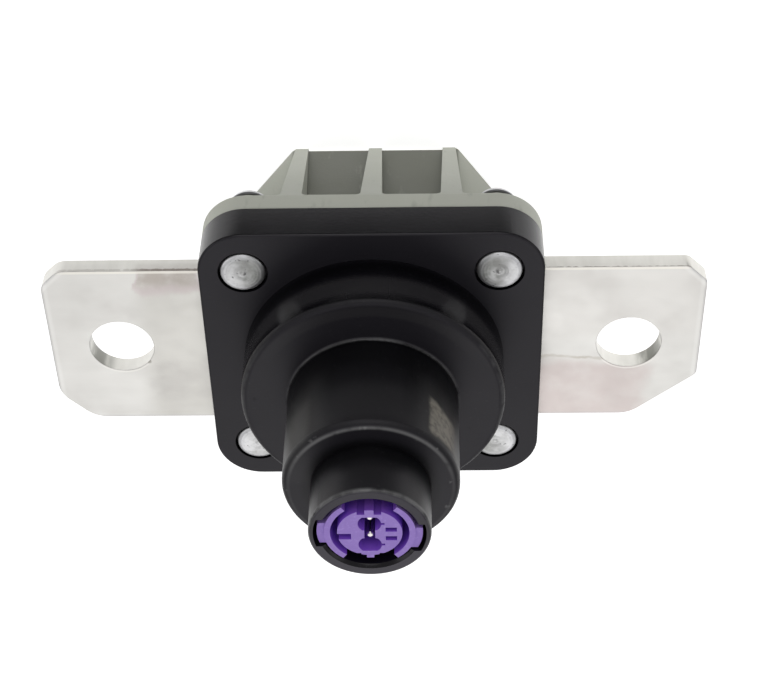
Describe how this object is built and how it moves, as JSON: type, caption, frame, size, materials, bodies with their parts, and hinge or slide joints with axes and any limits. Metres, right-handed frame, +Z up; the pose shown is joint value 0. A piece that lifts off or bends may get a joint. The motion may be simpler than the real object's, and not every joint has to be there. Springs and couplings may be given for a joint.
{
  "type": "pyrotechnic battery fuse",
  "caption": "Pyrotechnic battery fuse: flat bolt-on busbar through a riveted two-part housing with a stepped nose, a plug socket and a sealed cutter piston.",
  "frame": {"origin": "nose axis, on the flat foot of the lower housing", "axes": "+Z up the nose axis towards the plug mouth, X along the busbar with the keyed corner on the +X, -Y side"},
  "size_m": [0.0864, 0.042, 0.0624],
  "materials": {
    "grey_plastic": "satin moulded grey plastic, glass filled",
    "black_plastic": "satin moulded black plastic",
    "plated_bar": "tin-plated copper, rolled and punched",
    "rivet_metal": "formed aluminium",
    "purple_plastic": "moulded purple plastic",
    "spring_metal": "stamped spring bronze",
    "pin_metal": "plated contact pin",
    "holder_plastic": "moulded black plastic",
    "turned_steel": "turned steel",
    "seal_glass": "fused sealing glass",
    "drawn_steel": "deep-drawn stainless steel",
    "pressed_charge": "pressed powder",
    "black_rubber": "smooth rubber",
    "piston_plastic": "moulded natural plastic",
    "red_rubber": "silicone rubber"
  },
  "bodies": {
    "housing": {"lower_housing": "grey_plastic", "upper_housing": "black_plastic", "busbar": "plated_bar", "rivets": "rivet_metal", "plug_retainer": "purple_plastic", "shorting_clip": "spring_metal", "signal_pin": "pin_metal", "return_pin": "pin_metal", "igniter_holder": "holder_plastic", "igniter_header": "turned_steel", "glass_seal": "seal_glass", "charge_can": "drawn_steel", "charge": "pressed_charge", "holder_o_ring": "black_rubber", "lock_ring": "turned_steel", "punch_guide": "piston_plastic", "cutting_die": "turned_steel", "stop_pad": "black_rubber", "perimeter_seal": "red_rubber", "left_slot_seal": "red_rubber", "right_slot_seal": "red_rubber"},
    "piston": {"piston": "piston_plastic", "piston_o_ring": "black_rubber"}
  },
  "joints": [
    {"name": "piston_stroke", "type": "slide", "parent": "housing", "child": "piston", "axis": [0, 0, -1], "range_m": [0, 0.00095]}
  ]
}
